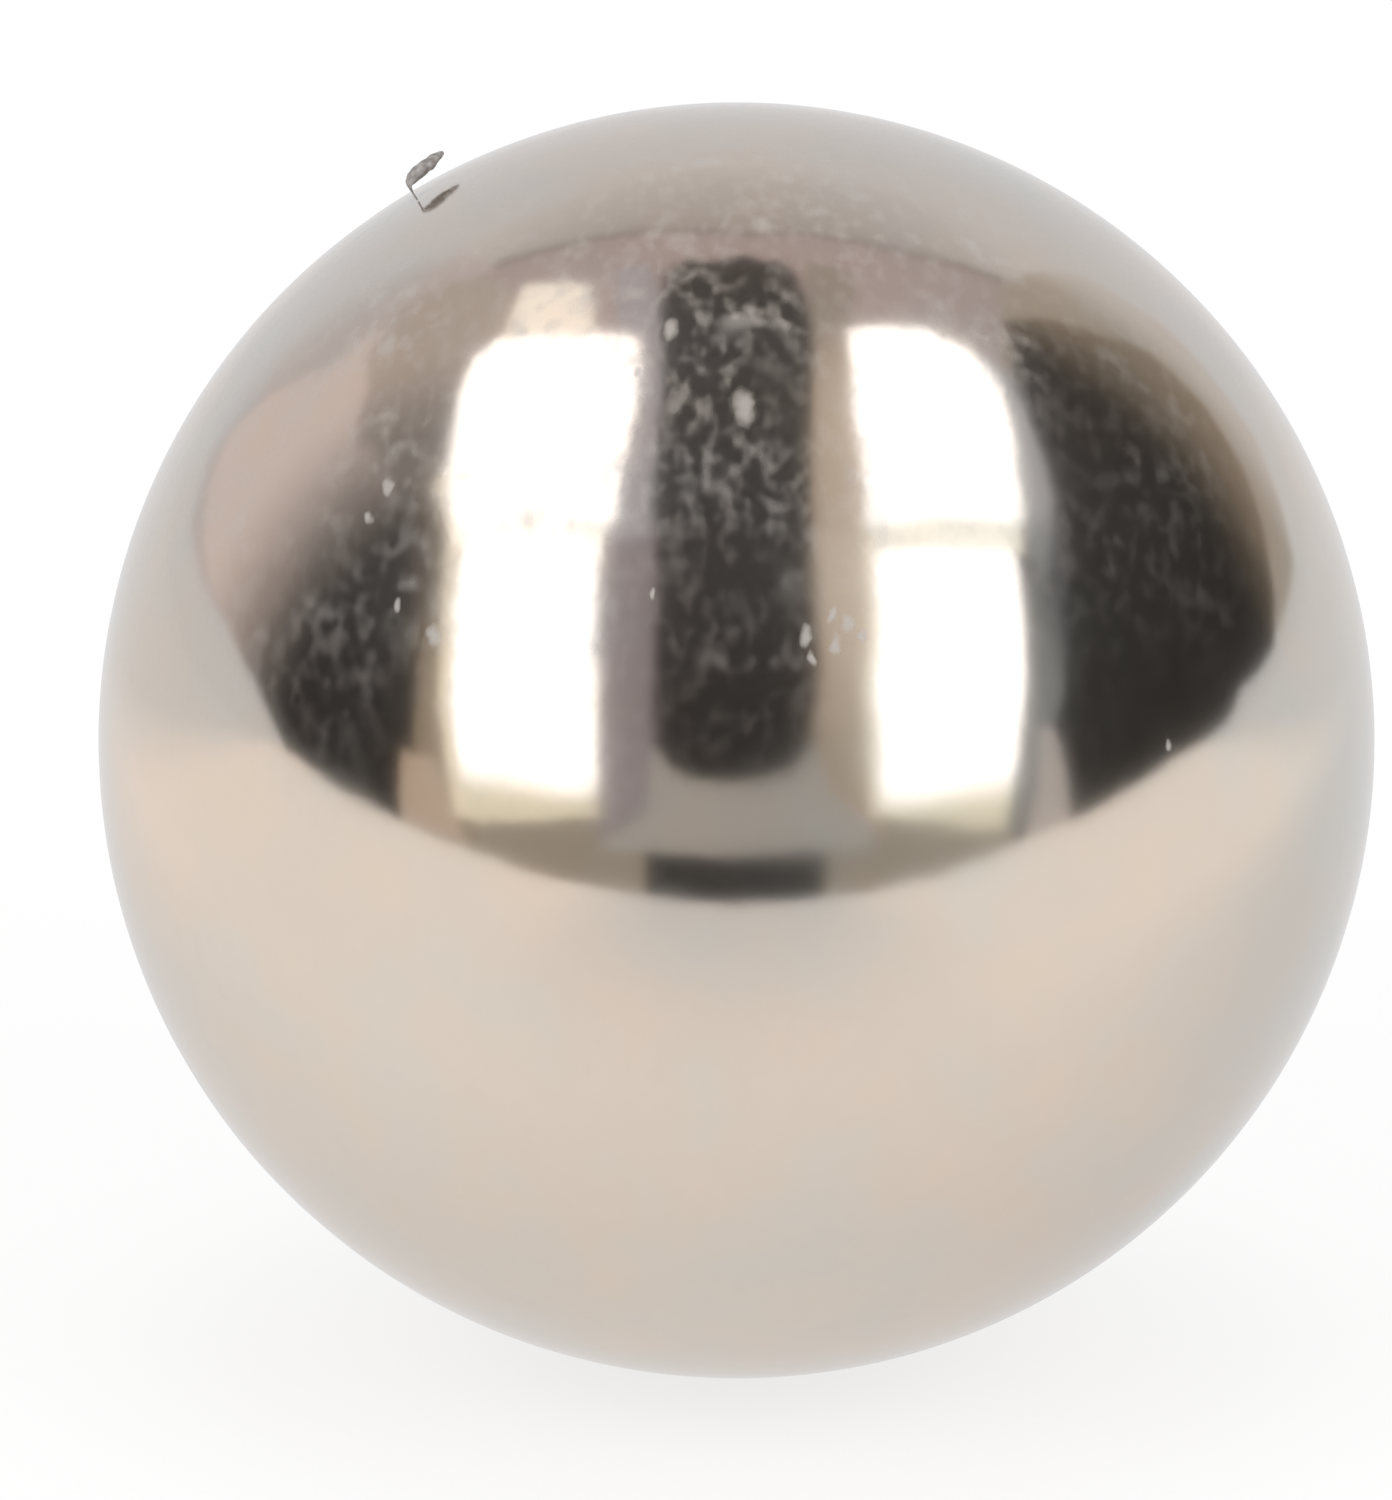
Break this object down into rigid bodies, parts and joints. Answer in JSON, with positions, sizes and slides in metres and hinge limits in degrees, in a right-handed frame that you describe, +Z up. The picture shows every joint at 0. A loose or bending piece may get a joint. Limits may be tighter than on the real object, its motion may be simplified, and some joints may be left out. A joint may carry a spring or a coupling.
{
  "type": "sphere magnet",
  "caption": "Solid ball magnet of sintered neodymium with a polished bright nickel finish, for holding, fidgeting and building on a bench or desk.",
  "frame": {"origin": "centre of the ball", "axes": "+Z up along the magnetic axis, through the two poles; X and Y are any two square directions, because the ball is round about every axis"},
  "size_m": [0.0126, 0.0126, 0.0126],
  "materials": {
    "nickel_plating": "bright nickel plate, mirror polished, faintly warm, with fine orange peel, tiny pits and specks of dust",
    "steel_filing": "dull dark steel: one tiny filing, half a millimetre long, that clings to the ball as dirt and is no piece of it"
  },
  "bodies": {
    "root": {"magnet_ball": "nickel_plating"}
  },
  "joints": []
}
